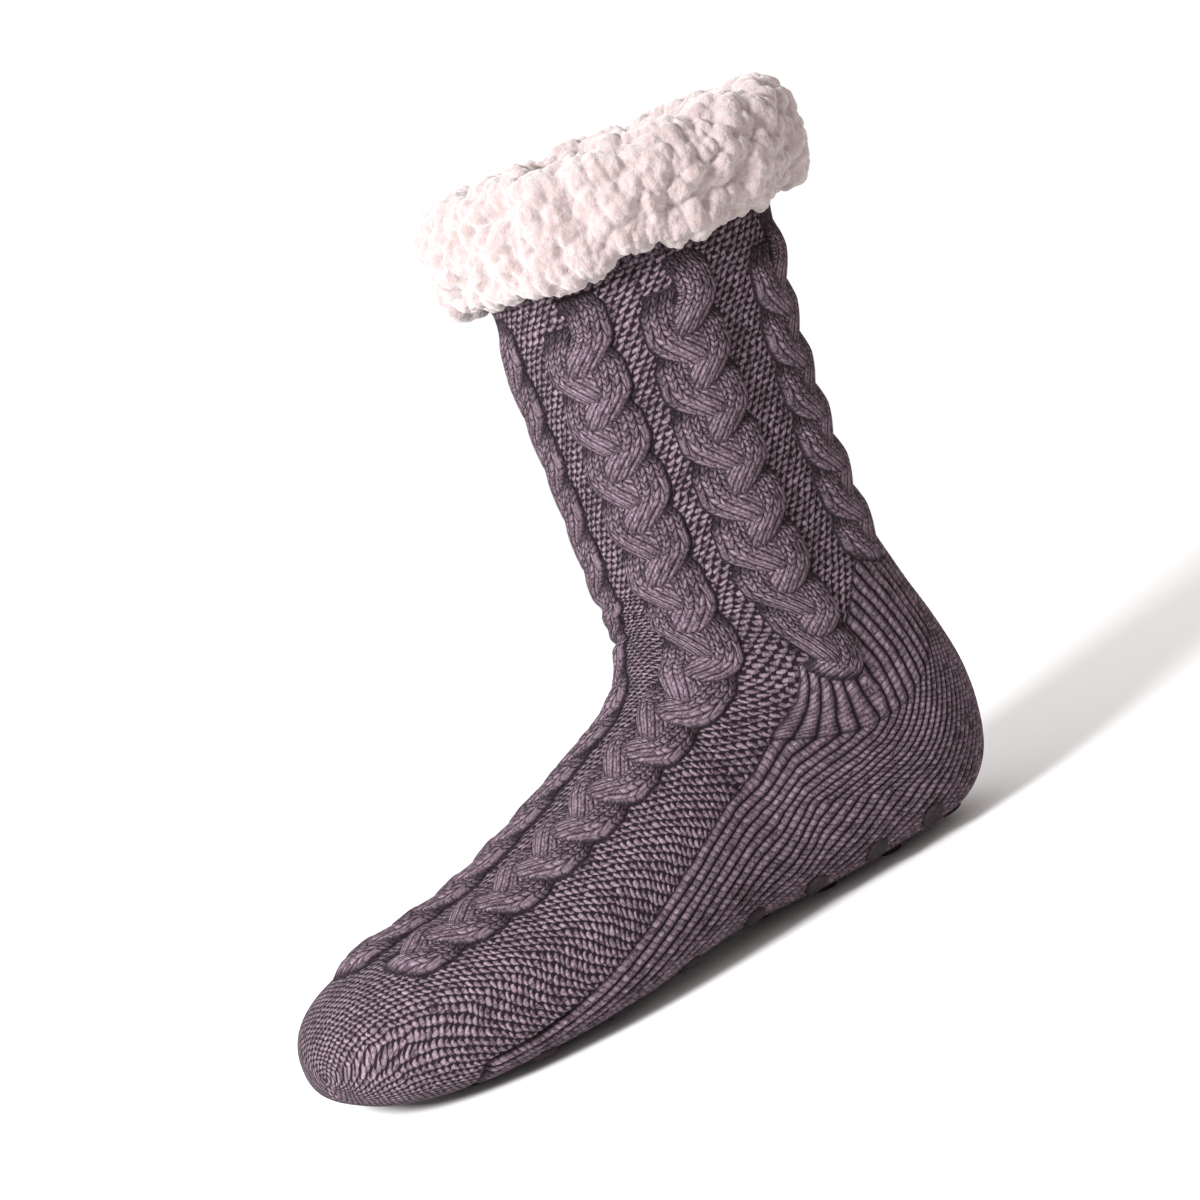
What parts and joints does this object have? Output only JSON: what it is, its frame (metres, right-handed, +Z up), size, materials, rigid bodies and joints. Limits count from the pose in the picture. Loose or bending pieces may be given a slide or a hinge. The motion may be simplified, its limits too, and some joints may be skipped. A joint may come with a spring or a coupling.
{
  "type": "slipper sock",
  "caption": "Cable-knit slipper sock with a curly fleece lining turned down as a cuff and silicone grip dots under the sole.",
  "frame": {"origin": "on the floor, under the middle of the sock's whole length and width", "axes": "+X towards the toe, +Y towards the outer side of the left foot, +Z up along the shaft"},
  "size_m": [0.2592, 0.111, 0.2397],
  "materials": {
    "cable_knit": "thick heathered grey-purple knit yarn, soft and matt, with raised plaits",
    "curly_fleece": "pale pinkish white curly pile fleece, very matt",
    "grip_silicone": "dark grey printed silicone, slightly satin"
  },
  "bodies": {
    "root": {"knit_sock": "cable_knit", "sherpa_cuff": "curly_fleece", "grip_dot_01": "grip_silicone", "grip_dot_02": "grip_silicone", "grip_dot_03": "grip_silicone", "grip_dot_04": "grip_silicone", "grip_dot_05": "grip_silicone", "grip_dot_06": "grip_silicone", "grip_dot_07": "grip_silicone", "grip_dot_08": "grip_silicone", "grip_dot_09": "grip_silicone", "grip_dot_10": "grip_silicone", "grip_dot_11": "grip_silicone", "grip_dot_12": "grip_silicone", "grip_dot_13": "grip_silicone", "grip_dot_14": "grip_silicone", "grip_dot_15": "grip_silicone", "grip_dot_16": "grip_silicone", "grip_dot_17": "grip_silicone", "grip_dot_18": "grip_silicone", "grip_dot_19": "grip_silicone", "grip_dot_20": "grip_silicone", "grip_dot_21": "grip_silicone", "grip_dot_22": "grip_silicone", "grip_dot_23": "grip_silicone", "grip_dot_24": "grip_silicone", "grip_dot_25": "grip_silicone", "grip_dot_26": "grip_silicone", "grip_dot_27": "grip_silicone", "grip_dot_28": "grip_silicone", "grip_dot_29": "grip_silicone", "grip_dot_30": "grip_silicone"}
  },
  "joints": []
}
